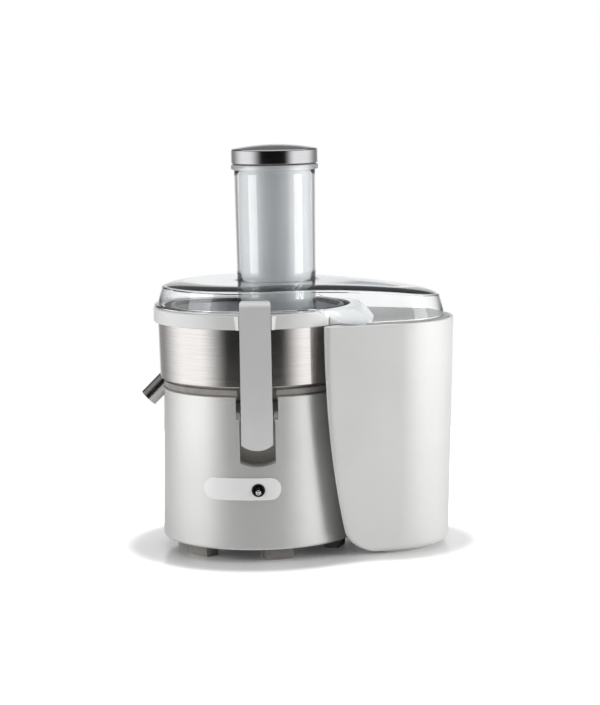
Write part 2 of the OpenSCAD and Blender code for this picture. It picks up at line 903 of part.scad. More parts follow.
// A ring of the outlet's section at one angle: down the round slope from the
// collar to the rim, and back under it
function outlet_section(a) = let (
  far = outlet_r(a),
  rise = collar_top - outlet_edge_z,
  steps = 8,
  over = [for (i = [0 : steps]) let (t = i / steps)
    [outlet_in + (far - outlet_in) * t, outlet_edge_z + rise * (1 - pow(t, 1.6))]]
) [
  for (p = over) [p[0] * cos(a), p[0] * sin(a), p[1]],
  for (i = [steps : -1 : 0]) let (p = over[i]) [p[0] * cos(a), p[0] * sin(a), p[1] - outlet_t]
];

module pulp_outlet() {
  placed() color([0.93, 0.93, 0.93])
    through_rings([for (a = [outlet_last : -2 : outlet_first]) outlet_section(a)], false);
}

/* -------------------------------------------------------------------- lid */

function lid_flare() = asin((lid_r - lid_nose_r) / lid_nose_x);

// Distance from the chute's middle to the lid's outline, drawn in by inset,
// in the direction a. The outline is a large and a small circle with the two
// lines that touch both.
function lid_reach(a, inset) = let (
  flare = lid_flare(),
  back_r = lid_r - inset,
  nose_r = lid_nose_r - inset,
  ahead = lid_nose_x - chute_x,
  line = (back_r - chute_x * sin(flare)) / max(0.001, cos(abs(a) - 90 + flare)),
  along = line * cos(a),
  touch_back = back_r * sin(flare) - chute_x,
  touch_nose = ahead + nose_r * sin(flare)
) along < touch_back || abs(a) > 150
    ? -chute_x * cos(a) + sqrt(pow(back_r, 2) - pow(chute_x * sin(a), 2))
    : along > touch_nose
      ? ahead * cos(a) + sqrt(max(0, pow(nose_r, 2) - pow(ahead * sin(a), 2)))
      : line;

function lid_point(a, inset) = let (r = lid_reach(a, inset)) [chute_x + r * cos(a), r * sin(a)];

// Height of the lid's top at x, falling towards the nose
fall_run = lid_nose_x + lid_nose_r - chute_x;
function lid_height(x) = lid_top - lid_fall * pow(max(0, x - chute_x) / fall_run, 1.9);

function ramp(x, low, high) = min(1, max(0, (x - low) / (high - low)));

lid_crown = 0.4;
skirt_from = 56;
skirt_to = 96;
flange_end = 62;

// One ring round the lid's shoulder, at a turn from the wall to the top
function lid_ring(inset, turn, thick) = [
  for (a = lid_angles()) let (
    p = lid_point(a, inset),
    z = lid_height(p[0]) - shoulder_r * (1 - sin(turn)) - thick * sin(turn)
  ) [p[0], p[1], z]
];

// Height of the lid's foot at x: on the collar, then down in a slow curve to
// just above the bin
function lid_foot(x) = let (t = ramp(x, skirt_from, skirt_to))
  flange_z + (skirt_z - flange_z) * t * t * (3 - 2 * t);

function lid_angles() = [for (i = [0 : 71]) i * 5 - 180];

function flange_ring(z_of_top) = [
  for (a = lid_angles()) let (
    p = lid_point(a, 0),
    w = flange_w * (1 - ramp(p[0], flange_end, flange_end + 12)),
    q = lid_point(a, -w)
  ) [q[0], q[1], z_of_top ? lid_foot(p[0]) + flange_t : lid_foot(p[0])]
];

function wall_ring(up, inset) = [
  for (a = lid_angles()) let (p = lid_point(a, inset), x = lid_point(a, 0)[0])
    [p[0], p[1], lid_foot(x) + up]
];

// Rings from the shoulder in to the chute
function crown_ring(share, thick) = [
  for (a = lid_angles()) let (
    far = lid_reach(a, wall_lean + shoulder_r),
    near = chute_hole,
    r = near + (far - near) * share,
    x = chute_x + r * cos(a),
    crown = lid_crown * pow(1 - share, 2)
  ) [x, r * sin(a), lid_height(x) * share + (1 - share) * lid_top + crown - thick]
];

function lid_skin(thick) = [
  for (t = [0 : 15 : 90]) lid_ring(wall_lean + thick * cos(t) + shoulder_r * (1 - cos(t)), t, thick)
];

function crowns(thick) = [for (share = [0.75, 0.5, 0.25, 0]) crown_ring(share, thick)];

function reversed(list) = [for (i = [len(list) - 1 : -1 : 0]) list[i]];

module lid_dome() {
  foot = [flange_ring(false), flange_ring(true), wall_ring(flange_t + 0.1, 0)];
  outside = concat(foot, lid_skin(0), crowns(0));
  inside = concat([wall_ring(0, lid_t)], lid_skin(lid_t), crowns(lid_t));
  placed() color(clear) through_rings(concat(outside, reversed(inside)), true);
}

module lid_seal() {
  placed() color(rubber) difference() {
    tube(collar_r - 3, collar_r - 6.5, collar_top, flange_z);
    translate([skirt_from - 4, -collar_r, collar_top - cut]) cube([collar_r, 2 * collar_r, seal_h + 2 * cut]);
  }
}

chute_low = wall_z + disc_t + 4;
function chute_at(z) = chute_r - (mouth_z - z) * tan(chute_draft);
chute_hole = chute_at(lid_top) + 2 * fit;

module feed_chute() {
  h = mouth_z - chute_low;
  placed() color(clear) translate([chute_x, 0, chute_low]) difference() {
    cylinder(r1 = chute_at(chute_low), r2 = chute_r, h = h);
    translate([0, 0, -0.001])
      cylinder(r1 = chute_at(chute_low) - chute_t, r2 = chute_r - chute_t, h = h + 0.002);
  }
}

module chute_lip() {
  placed() color(clear) translate([chute_x, 0, 0]) rotate_extrude() polygon([
    [chute_r + fit, mouth_z - lip_h],
    [chute_r + lip_w - 0.6, mouth_z - lip_h],
    [chute_r + lip_w, mouth_z - lip_h + 0.6],
    [chute_r + lip_w, mouth_z - 0.6],
    [chute_r + lip_w - 0.6, mouth_z],
    [chute_r + fit, mouth_z]
  ]);
}

/* ----------------------------------------------------------------- pusher */

pusher_seal_t = 1.2;
cap_z = mouth_z + gap + pusher_seal_t;
pusher_low = chute_low + 2;

module pusher_body() {
  placed() color([0.75, 0.76, 0.77]) translate([chute_x, 0, 0]) difference() {
    translate([0, 0, pusher_low]) cylinder(r = pusher_r, h = cap_z - pusher_low);
    translate([0, 0, pusher_low + 3]) cylinder(r = pusher_r - pusher_t, h = cap_z);
  }
}

module pusher_seal() {
  placed() color(dark) translate([chute_x, 0, 0]) tube(cap_r - 1.6, pusher_r, mouth_z + gap, cap_z);
}

// Steel cap with a slightly crowned top
module pusher_cap() {
  top = cap_z + cap_side;
  edge = 0.8;
  crown_r = (pow(cap_r - edge, 2) + pow(cap_crown, 2)) / (2 * cap_crown);
  span = asin((cap_r - edge) / crown_r);
  placed() color(steel) translate([chute_x, 0, 0]) rotate_extrude() polygon([
    [0, cap_z],
    [cap_r - edge / 2, cap_z],
    [cap_r, cap_z + edge / 2],
    [cap_r, top - edge],
    for (i = [0 : 12]) let (a = span * (1 - i / 12))
      [crown_r * sin(a), top + cap_crown - crown_r * (1 - cos(a))]
  ]);
}

/* ----------------------------------------------------------------- clamps */

hook_z = flange_top + 0.8;
hook_tip = lid_r + 0.5;
clamp_top = hook_z + hook_h;

// Front outline of a clamp: a slow taper with an arched lower end and round
// upper corners
module clamp_outline() {
  half_low = clamp_w_low / 2;
  half_top = clamp_w_top / 2;
  arch_r = 24;
  corner = [for (t = [0 : 15 : 90]) clamp_corner * [1 - cos(t), 1 - sin(t)]];
  intersection() {
    polygon(concat(
      [[-half_low, clamp_low - 2], [half_low, clamp_low - 2]],
      [for (c = corner) [half_top - c[0], clamp_top - c[1]]],
      [for (i = [6 : -1 : 0]) [corner[i][0] - half_top, clamp_top - corner[i][1]]]
    ));
    union() {
      translate([0, clamp_low + arch_r]) circle(r = arch_r);
      translate([-clamp_w_low, clamp_low + arch_r]) square([2 * clamp_w_low, clamp_top - clamp_low]);
    }
  }
}

// Side outline of a clamp: y is the distance from the motor axis
module clamp_side() {
  inner = clamp_face - clamp_t;
  bend = 8;
  difference() {
    union() {
      polygon([
        [clamp_face, clamp_low],
        [clamp_face, clamp_top - bend],
        for (t = [15 : 15 : 90]) [clamp_face - bend * (1 - cos(t)), clamp_top - bend * (1 - sin(t))],
        [hook_tip, clamp_top - 0.6],
        [hook_tip, hook_z],
        [inner - 1, hook_z],
        [inner, hook_z - 2],
        [inner, shell_top + 3],
        [pivot_d + 4, pivot_z + 7],
        [pivot_d + 4, pivot_z - 7],
        [inner - 2, clamp_low + 3],
        [inner - 2, clamp_low]
      ]);
      translate([pivot_d, pivot_z]) circle(r = 6.4);
    }
    translate([pivot_d, pivot_z]) circle(r = pin_r + fit);
  }
}

module clamp() {
  intersection() {
    rotate([0, 0, 180]) sideways(2 * clamp_w_low) clamp_side();
    upright(-clamp_face - cut, 0) clamp_outline();
  }
}

module clamp_front() {
  placed() color([0.85, 0.85, 0.85]) clamp();
}

module clamp_rear() {
  placed() color([0.85, 0.85, 0.85]) mirror([0, 1, 0]) clamp();
}

/* -------------------------------------------------------------------- bin */

bin_nose_x = bin_reach - bin_nose_r;
bin_line = bin_nose_x * sin(bin_flare) + bin_nose_r;
flank = bin_nose_x * cos(bin_flare);
horn_round = 6.5;
horn_sweep = 2.3;
corner_w = flank - horn_low - horn_round - 4.8;
bin_edge_r = 7;

// How far the end of each side stays from the foot of its normal at height z
function horn_end(z) = let (
  sweep = pow(1 - min(1, z / bin_h), horn_sweep),
  low = max(0, corner_h - z) / corner_h
) horn_top + (horn_low - horn_top) * sweep + corner_w * (1 - sqrt(1 - low * low));

function bezier(p, q, r, s, t) =
  pow(1 - t, 3) * p + 3 * t * pow(1 - t, 2) * q + 3 * t * t * (1 - t) * r + pow(t, 3) * s;

// Half of the bin's outline, from the nose round one side to the hollow:
// inset is how far it lies inside the rim's outline
function bin_half(inset, retreat) = let (
  nose = bin_nose_r - inset,
  hollow = bin_hollow_r + inset,
  turn = 90 - bin_flare,
  out = [cos(turn), sin(turn)],
  way = [sin(turn), -cos(turn)],
  far = bin_line - inset,
  q = retreat + horn_round,
  start = far * out + q * way,
  meet = turn - asin(min(0.98, q / hollow)),
  finish = hollow * [cos(meet), sin(meet)],
  back = [-sin(meet), cos(meet)],
  pull = 4 / 3 * horn_round,
  tangent = [bin_nose_x, 0] + nose * out
) concat(
  [for (i = [0 : 9]) let (a = turn * i / 10) [bin_nose_x + nose * cos(a), nose * sin(a)]],
  [for (i = [0 : 4]) tangent + (start - tangent) * i / 5],
  [for (i = [0 : 7]) bezier(start, start - pull * way, finish + pull * back, finish, i / 8)],
  [for (i = [0 : 7]) let (a = meet * (1 - i / 8)) hollow * [cos(a), sin(a)]]
);

function bin_ring(inset, z, extra) = let (
  lean = (bin_h - z) * tan(bin_draft),
  half = bin_half(inset + lean, horn_end(z) + extra),
  n = len(half)
) [
  for (i = [0 : n - 1]) [half[i][0], half[i][1], z],
  [bin_hollow_r + inset + lean, 0, z],
  for (i = [n - 1 : -1 : 1]) [half[i][0], -half[i][1], z]
];

module pulp_bin() {
  edge = bin_edge_r;
  floor_z = bin_foot + bin_t;
  low = [0.45, 0.6, 0.75, 0.9, 1.05];
  high = [0.16, 0.24, 0.34, 0.46, 0.6, 0.8];
  outside = concat(
    [bin_ring(edge + 3, 0, 3), bin_ring(edge + 3, bin_foot, 3)],
    [for (t = [0 : 22.5 : 90]) bin_ring(edge * (1 - sin(t)), bin_foot + edge * (1 - cos(t)), 0)],
    [for (share = low) bin_ring(0, corner_h * share, 0)],
    [for (share = high) bin_ring(0, bin_h * share, 0)],
    [bin_ring(0, bin_h - 0.8, 0), bin_ring(0.7, bin_h, 0)]
  );
  inside = concat(
    [bin_ring(bin_t - 0.4, bin_h, bin_t), bin_ring(bin_t, bin_h - 2, bin_t)],
    [for (i = [5 : -1 : 0]) bin_ring(bin_t, bin_h * high[i], bin_t)],
    [for (i = [4 : -1 : 1]) bin_ring(bin_t, corner_h * low[i], bin_t)],
    [bin_ring(bin_t + 3, floor_z + 1.2, bin_t + 2), bin_ring(bin_t + 6, floor_z, bin_t + 4)]
  );
  placed() color([0.94, 0.94, 0.93]) through_rings(concat(outside, inside), false);
}

base_shell();
base_plate();
feet();
base_screws();
top_deck();
seal_ring();
recess_front();
recess_rear();
pin_front();
pin_rear();
switch_trim();
switch_cup();
switch_body();
toggle_lever();
interlock_switch();
control_board();
cord_inlet();
motor_frame();
motor_mounts();
motor_stator();
bearing_low();
bearing_top();
motor_brushes();
motor_shaft();
armature();
commutator();
cooling_fan();
drive_coupling();
basket_hub();
filter_basket();
basket_rim();
grater_disc();
juice_bowl();
juice_spout();
bowl_seal();
collar();
pulp_outlet();
lid_seal();
lid_dome();
feed_chute();
chute_lip();
pusher_body();
pusher_seal();
pusher_cap();
clamp_front();
clamp_rear();
pulp_bin();
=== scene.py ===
import json
import math

import bmesh
import bpy
import numpy as np
from mathutils import Matrix, Vector


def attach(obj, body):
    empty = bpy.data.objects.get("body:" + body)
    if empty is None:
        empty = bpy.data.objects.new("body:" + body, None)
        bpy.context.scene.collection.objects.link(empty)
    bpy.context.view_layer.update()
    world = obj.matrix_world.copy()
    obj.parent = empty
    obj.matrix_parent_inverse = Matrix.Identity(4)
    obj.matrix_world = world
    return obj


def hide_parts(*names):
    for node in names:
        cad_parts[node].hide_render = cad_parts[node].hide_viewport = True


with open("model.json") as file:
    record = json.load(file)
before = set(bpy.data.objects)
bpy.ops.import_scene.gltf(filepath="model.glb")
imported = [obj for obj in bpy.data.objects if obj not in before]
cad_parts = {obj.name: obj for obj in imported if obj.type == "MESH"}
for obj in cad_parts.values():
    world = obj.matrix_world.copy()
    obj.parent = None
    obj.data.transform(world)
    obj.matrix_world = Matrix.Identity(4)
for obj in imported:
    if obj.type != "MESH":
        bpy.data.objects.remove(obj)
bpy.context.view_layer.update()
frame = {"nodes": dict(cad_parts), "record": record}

# --------------------------------------------- sizes shared with the parts, in mm

MM = 0.001
AXIS_X = -40.84        # the motor axis in the row frame
COLLAR_TOP = 248.7
FLANGE_Z = 249.4       # where the lid stands on the collar
SKIRT_Z = 235.0        # the foot of the lid's nose, lower than the flange
LID_TOP = 274.0
LID_FALL, FALL_RUN, FALL_POWER = 14.1, 171.2, 1.9
CHUTE_X, CHUTE_R, CHUTE_WALL = 20.8, 41.5, 2.4
CHUTE_LOW, MOUTH_Z = 210.6, 391.7
BIN_H = 234.4

# ------------------------------------------------------------------ surfaces

DOUBLE = 2e-6          # points nearer than this, in metres, are one


def ramp(x, low, high):
    """0 up to low, 1 from high on, and straight between."""
    return np.clip((x - low) / (high - low), 0, 1)


def smooth(x):
    """Eases a share from 0 to 1 in and out."""
    return x * x * (3 - 2 * x)


def shown(thing):
    """Puts a new object in the scene."""
    bpy.context.scene.collection.objects.link(thing)
    return thing


def rounded(corners, radii, steps=5):
    """A closed outline with rounded corners. At each corner both sides are cut back by
    radius / tan(half the inner angle), and an arc round the point on the bisector at
    radius / sin(half the inner angle), in equal steps of angle, joins the two cuts."""
    p = np.asarray(corners, float)
    r = np.asarray(radii, float)[:, None] + 1e-6
    u = np.roll(p, 1, 0) - p
    v = np.roll(p, -1, 0) - p
    u /= np.linalg.norm(u, axis=1, keepdims=True)
    v /= np.linalg.norm(v, axis=1, keepdims=True)
    half = np.arccos(np.clip((u * v).sum(1, keepdims=True), -1, 1)) / 2
    cut = r / np.tan(half)
    bisector = u + v
    bisector /= np.linalg.norm(bisector, axis=1, keepdims=True) + 1e-12
    centre = p + bisector * r / np.sin(half)
    first = p + u * cut - centre
    last = p + v * cut - centre
    a = np.arctan2(first[:, 1], first[:, 0])
    turn = np.arctan2(last[:, 1], last[:, 0]) - a
    turn = (turn + np.pi) % (2 * np.pi) - np.pi
    angle = a[:, None] + turn[:, None] * np.linspace(0, 1, steps + 1)
    arc = np.stack([np.cos(angle), np.sin(angle)], -1)
    return (centre[:, None] + r[:, None] * arc).reshape(-1, 2)


def spun(outline, x=0.0, count=192):
    """A surface of revolution: the outline's (radius, height) points carried round the
    upright line at x, so a point is (x + r cos a, r sin a, z)."""
    a = np.linspace(0, 2 * np.pi, count, endpoint=False)
    r, z = np.asarray(outline, float).T
    return np.stack([x + r[:, None] * np.cos(a), r[:, None] * np.sin(a), z[:, None] + 0 * a], -1)


def grid_faces(rows, cols, ring):
    """Quads of a grid of points. Each row closes on itself, and with ring set the last row
    joins the first."""
    index = np.arange(rows * cols).reshape(rows, cols)
    near = index if ring else index[:-1]
    far = np.roll(index, -1, 0) if ring else index[1:]
    return np.stack([near, far, np.roll(far, -1, 1), np.roll(near, -1, 1)], -1).reshape(-1, 4)


def skin(name, grid, ring=True, crease=40):
    """A closed piece from a grid of points in mm about the motor axis. Doubles at seams and
    poles are merged, without ring the first and last rows are capped, and the faces are
    turned outwards."""
    rows, cols = grid.shape[:2]
    faces = grid_faces(rows, cols, ring).tolist()
    if not ring:
        faces += [list(range(cols)), list(range((rows - 1) * cols, rows * cols))]
    mesh = bpy.data.meshes.new(name)
    mesh.from_pydata((grid.reshape(-1, 3) + [AXIS_X, 0, 0]) * MM, [], faces)
    return settled(name, mesh, crease)


def settled(name, mesh, crease):
    """Merges doubles, turns the faces outwards and smooths all but the creases."""
    work = bmesh.new()
    work.from_mesh(mesh)
    bmesh.ops.remove_doubles(work, verts=work.verts, dist=DOUBLE)
    bmesh.ops.recalc_face_normals(work, faces=work.faces)
    work.to_mesh(mesh)
    work.free()
    mesh.polygons.foreach_set("use_smooth", np.ones(len(mesh.polygons), bool))
    mesh.set_sharp_from_angle(angle=math.radians(crease))
    return shown(bpy.data.objects.new(name, mesh))


def eased(node, name, width, steps):
    """A copy of a CAD piece whose edges are rounded by a width in mm, in so many steps."""
    crease = 32
    mesh = frame["nodes"][node].data.copy()
    work = bmesh.new()
    work.from_mesh(mesh)
    bmesh.ops.remove_doubles(work, verts=work.verts, dist=DOUBLE)
    flat = math.radians(0.6)
    bmesh.ops.dissolve_limit(work, angle_limit=flat, verts=work.verts, edges=work.edges)
    sharp = [edge for edge in work.edges
             if len(edge.link_faces) == 2 and edge.calc_face_angle() > math.radians(crease)]
    bmesh.ops.bevel(work, geom=sharp, offset=width * MM, offset_type="OFFSET", segments=steps,
                    profile=0.5, affect="EDGES", clamp_overlap=True)
    work.to_mesh(mesh)
    work.free()
    if "custom_normal" in mesh.attributes:
        mesh.attributes.remove(mesh.attributes["custom_normal"])
    return settled(name, mesh, crease)


def fitted(thing, body, slot, finish, *nodes):
    """Puts a finished piece on its body, in place of its CAD nodes; the slot it is given is not used."""
    thing.data.materials.clear()
    thing.data.materials.append(finish)
    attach(thing, body)
    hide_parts(*nodes)


# ------------------------------------------------------------------ finishes


class Wire:
    """A socket in a finish. Arithmetic on wires and numbers adds Math nodes."""

    def __init__(self, maker, socket):
        self.maker, self.socket = maker, socket

    def _math(self, operation, *values):
        return self.maker.node("Math", {"operation": operation}, dict(enumerate(values)))

    def __add__(self, other):
        return self._math("ADD", self, other)

    __radd__ = __add__

    def __sub__(self, other):
        return self._math("SUBTRACT", self, other)

    def __rsub__(self, other):
        return self._math("SUBTRACT", other, self)

    def __mul__(self, other):
        return self._math("MULTIPLY", self, other)

    __rmul__ = __mul__

    def __truediv__(self, other):
        return self._math("DIVIDE", self, other)

    def __pow__(self, other):
        return self._math("POWER", self, other)

    def fraction(self):
        """What is left over the whole number below."""
        return self._math("FRACT", self)

    def whole(self):
        """The whole number below."""
        return self._math("FLOOR", self)

    def largest(self, other):
        """The larger of the two."""
        return self._math("MAXIMUM", self, other)

    def size(self):
        """The value without its sign."""
        return self._math("ABSOLUTE", self)

    def root(self):
        """The square root."""
        return self._math("SQRT", self)

    def bearing(self, x):
        """The angle whose tangent is this over x."""
        return self._math("ARCTAN2", self, x)

    def step(self, low, high):
        """0 below low, 1 above high, and a smooth turn between."""
        return self.maker.node("MapRange", {"interpolation_type": "SMOOTHSTEP"}, {0: self, 1: low, 2: high})


class Finish:
    """The nodes of a new material, or of the world if that is its owner."""

    def __init__(self, name, owner=None):
        self.owner = owner or bpy.data.materials.new(name)
        self.owner.use_nodes = True
        self.tree = self.owner.node_tree
        self.tree.nodes.clear()

    def node(self, kind, settings=None, sockets=None, out=0):
        """Adds a node of a kind: first its settings, then the values or links of its sockets."""
        made = self.tree.nodes.new("ShaderNode" + kind)
        for key, value in (settings or {}).items():
            setattr(made, key, value)
        for key, value in (sockets or {}).items():
            if isinstance(value, Wire):
                self.tree.links.new(value.socket, made.inputs[key])
            else:
                made.inputs[key].default_value = value
        return Wire(self, made.outputs[out])

    def place(self, scale=(1, 1, 1), centre=(AXIS_X, 0, 0)):
        """The place on the piece, about a centre in mm, stretched by a scale per metre."""
        here = self.node("TexCoord", out="Object")
        shift = tuple(-c * MM * s for c, s in zip(centre, scale))
        return self.node("Mapping", {"vector_type": "POINT"},
                         {"Vector": here, "Location": shift, "Scale": scale})

    def split(self, vector):
        """A vector's x, y and z."""
        parts = self.node("SeparateXYZ", {}, {0: vector}).socket.node
        return [Wire(self, parts.outputs[i]) for i in range(3)]

    def grain(self, scale, detail=2.0, rough=0.5):
        """Noise from 0 to 1 with so many grains to the metre along each axis."""
        return self.node("TexNoise", {"noise_dimensions": "3D"},
                         {"Vector": self.place(scale), "Scale": 1.0, "Detail": detail,
                          "Roughness": rough})

    def blend(self, a, b, share):
        """A colour between a at share 0 and b at share 1."""
        return self.node("Mix", {"data_type": "RGBA"}, {0: share, 6: a, 7: b}, out=2)

    def relief(self, height, depth):
        """A bump whose full height is a depth in mm."""
        return self.node("Bump", {}, {"Height": height, "Distance": depth * MM, "Strength": 1.0})

    def coat(self, **sockets):
        """The main shader. Spaces in a socket's name are written as underscores."""
        return self.node("BsdfPrincipled", {}, {k.replace("_", " "): v for k, v in sockets.items()})

    def mixed(self, share, first, second):
        """The first shader at share 0 and the second at share 1."""
        return self.node("MixShader", {}, {0: share, 1: first, 2: second})

    def done(self, shader, kind="Material"):
        """Ends the nodes in a shader and gives back what they belong to."""
        end = self.tree.nodes.new("ShaderNodeOutput" + kind)
        self.tree.links.new(shader.socket, end.inputs[0])
        return self.owner


def rgb(r, g, b):
    """An opaque colour."""
    return (r, g, b, 1.0)


def tint(colour, factor):
    """A colour made lighter or darker by a factor."""
    return tuple(min(1.0, c * factor) for c in colour[:3]) + (1.0,)


def plastic(name, colour, rough, grain, depth=0.004, mottle=0.02, coat=0.0, metal=0.0, wear=0.05):
    """Moulded plastic: a fine spark-eroded grain, a slow drift of shade and faint rub marks."""
    f = Finish(name)
    fine = f.grain((grain, grain, grain), 2.0)
    slow = f.grain((14, 14, 14), 3.0)
    rub = f.grain((60, 60, 700), 3.0, 0.6)
    shade = f.blend(tint(colour, 1 - mottle), tint(colour, 1 + mottle), slow.step(0.3, 0.7))
    return f.done(f.coat(
        Base_Color=shade, Roughness=rough + (rub - 0.5) * wear * 2 + (fine - 0.5) * 0.06,
        Metallic=metal, Coat_Weight=coat, Coat_Roughness=0.06, Normal=f.relief(fine, depth)))


def brushed(name, colour, rough, aniso, fine, contrast=0.10, metal=1.0):
    """A brushed surface: fine gives the streaks to the metre along each axis, few along the
    stroke and many across it."""
    f = Finish(name)
    streak = f.grain(fine, 3.0, 0.6)
    broad = f.grain((fine[0] * 0.4, fine[1] * 0.4, fine[2] * 0.16), 2.0)
    mark = streak * 0.7 + broad * 0.3
    shade = f.blend(tint(colour, 1 - contrast), tint(colour, 1 + contrast), mark.step(0.3, 0.7))
    return f.done(f.coat(Base_Color=shade, Metallic=metal, Roughness=rough + (mark - 0.5) * 0.12,
                         Anisotropic=aniso, Anisotropic_Rotation=0.25, Normal=f.relief(mark, 0.003)))


def turned(name, colour, rough, centre_x):
    """Polished steel finished on a lathe: fine rings round the upright line at centre_x, in
    mm, and faint hairlines."""
    f = Finish(name)
    x, y, z = f.split(f.place((1, 1, 1), (centre_x, 0, 0)))
    radius = (x * x + y * y).root()
    rings = 4200.0
    across = f.node("CombineXYZ", {}, {0: radius * rings, 1: z * rings, 2: 0.0})
    ring = f.node("TexNoise", {"noise_dimensions": "3D"},
                  {"Vector": across, "Scale": 1.0, "Detail": 2.0})
    hair = f.grain((700, 90, 700), 2.0)
    shade = f.blend(tint(colour, 0.92), tint(colour, 1.08), ring.step(0.3, 0.7))
    return f.done(f.coat(Base_Color=shade, Metallic=1.0, Roughness=rough + ring * 0.05 + hair * 0.03,
                         Normal=f.relief(ring, 0.0012)))


def clear_plastic(name, body, edge, power, rough=0.0, shoulder=None):
    """Clear moulded plastic. Its colour turns from the body's colour to the edge's, a painted
    shade, as it is seen more on edge, to a power, and to the shoulder's, a painted dark band
    of shade, just below the lid's falling top. Its gloss has faint flow marks and scuffs, and
    lamps shine through it."""
    f = Finish(name)
    flow = f.grain((22, 22, 60), 2.0)
    scratch = f.grain((500, 500, 40), 3.0)
    facing = f.node("LayerWeight", {}, {"Blend": 0.5}, out="Facing")
    # painted shade: the colour darkens towards the edge colour as the wall is seen more on edge, standing in
    # for the dark edges of the clear walls
    clear_tint_and_painted_shade = f.blend(body, edge, facing ** power)
    if shoulder:
        x, _, z = f.split(f.place((1000, 1000, 1000)))          # in mm
        ahead = (x - CHUTE_X).largest(0.0)
        below = LID_TOP - (ahead / FALL_RUN) ** FALL_POWER * LID_FALL - z
        # painted shade: a dark band of colour just below the lid's falling top, standing in for the dark band
        # along the shoulder
        clear_tint_and_painted_shade = f.blend(clear_tint_and_painted_shade, shoulder, below.step(0.05, 0.4) * (1 - below.step(1.3, 2.6)))
    solid = f.coat(Base_Color=clear_tint_and_painted_shade, Roughness=rough + scratch.step(0.55, 0.8) * 0.03, IOR=1.49,
                   Transmission_Weight=1.0, Normal=f.relief(flow, 0.02))
    open_way = f.node("BsdfTransparent", {}, {0: tint(body, 0.97)})
    lamp_ray = f.node("LightPath", out="Is Shadow Ray")
    return f.done(f.mixed(lamp_ray, solid, open_way))


def sieve(name, colour):
    """Dark steel sheet with round holes in staggered rows. A hole is where the distance from
    the middle of its cell is below 0.28 of the cell."""
    holes_round, row_height = 260, 1.65
    f = Finish(name)
    x, y, z = f.split(f.place())
    around = y.bearing(x) * (holes_round / (2 * math.pi))
    up = z * (1 / (row_height * MM))
    row = up.whole() * 0.5
    du = (around + row).fraction() - 0.5
    dv = up.fraction() - 0.5
    hole = 1 - (du * du + dv * dv).root().step(0.24, 0.32)
    streak = f.grain((40, 40, 3000), 2.0)
    sheet = f.blend(tint(colour, 0.85), tint(colour, 1.15), streak)
    shade = f.blend(sheet, rgb(0.012, 0.012, 0.013), hole)
    return f.done(f.coat(Base_Color=shade, Metallic=1.0 - hole * 0.8, Roughness=0.34 + hole * 0.4,
                         Normal=f.relief(1 - hole, 0.25)))


def rubber(name, colour):
    """Soft moulded rubber with a dusty bloom."""
    f = Finish(name)
    bloom = f.grain((90, 90, 90), 4.0, 0.65)
    fine = f.grain((3800, 3800, 3800), 1.0)
    shade = f.blend(tint(colour, 0.88), tint(colour, 1.14), bloom.step(0.3, 0.75))
    return f.done(f.coat(Base_Color=shade, Roughness=0.55 + (bloom - 0.5) * 0.2, IOR=1.45,
                         Normal=f.relief(fine, 0.01)))


def winding(name, colour):
    """Enamelled wire: round turns, each rising by its thickness on its way round. The crown
    of a turn falls off as the square of the distance from its middle, and the colour darkens
    from the crown into the groove between turns as painted shade."""
    thickness = 0.8
    f = Finish(name)
    x, y, z = f.split(f.place())
    turn = (z * (1 / (thickness * MM)) + y.bearing(x) * (1 / (2 * math.pi))).fraction() - 0.5
    crown = 1 - turn * turn * 4
    # painted shade: the copper is darker in the grooves between turns and lighter on the crowns
    shade = f.blend(tint(colour, 0.45), tint(colour, 1.1), crown.step(0.0, 0.8))
    return f.done(f.coat(Base_Color=shade, Metallic=0.9, Roughness=0.3 + (1 - crown) * 0.2,
                         Normal=f.relief(crown, 0.3)))


def circuit(name, colour):
    """Lacquered board with copper tracks under the lacquer."""
    f = Finish(name)
    cells = f.node("TexBrick", {"offset": 0.5}, {
        "Vector": f.place(), "Color1": rgb(0, 0, 0), "Color2": rgb(0.1, 0.1, 0.1),
        "Mortar": rgb(1, 1, 1), "Scale": 260.0, "Mortar Size": 0.03})
    shade = f.blend(colour, tint(colour, 2.2), cells)
    return f.done(f.coat(Base_Color=shade, Roughness=0.3, Coat_Weight=0.4, Coat_Roughness=0.1))


